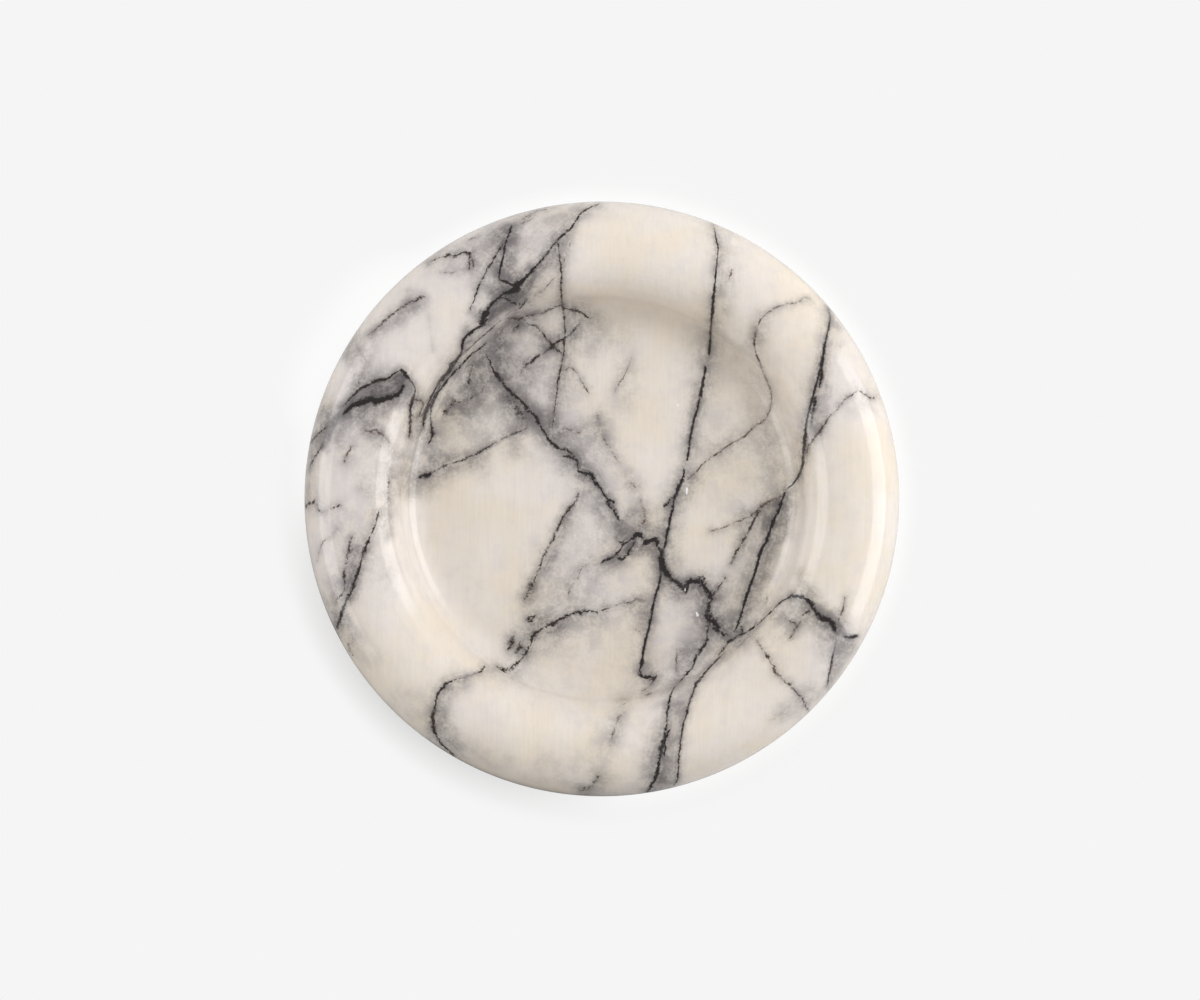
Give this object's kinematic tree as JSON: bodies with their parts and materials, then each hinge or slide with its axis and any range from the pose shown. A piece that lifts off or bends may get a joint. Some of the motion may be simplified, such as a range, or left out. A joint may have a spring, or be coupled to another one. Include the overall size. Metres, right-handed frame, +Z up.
{
  "type": "ring dish",
  "caption": "Round turned-stone dish with a full-round rim about a shallow flat-floored well, standing on stick-on felt pads; holds rings and small trinkets.",
  "frame": {"origin": "on the table under the middle of the dish, at the underside of the felt pads", "axes": "+Z is up along the turning axis; +X and +Y lie on the table between the pads, and +Y points to the top of the picture"},
  "size_m": [0.127, 0.127, 0.0228],
  "materials": {
    "polished_marble": "polished",
    "grey_felt": "matte",
    "adhesive": "satin"
  },
  "bodies": {
    "root": {"marble_dish": "polished_marble", "felt_pad_1": "grey_felt", "felt_pad_2": "grey_felt", "felt_pad_3": "grey_felt", "felt_pad_4": "grey_felt", "adhesive_film_1": "adhesive", "adhesive_film_2": "adhesive", "adhesive_film_3": "adhesive", "adhesive_film_4": "adhesive"}
  },
  "joints": []
}
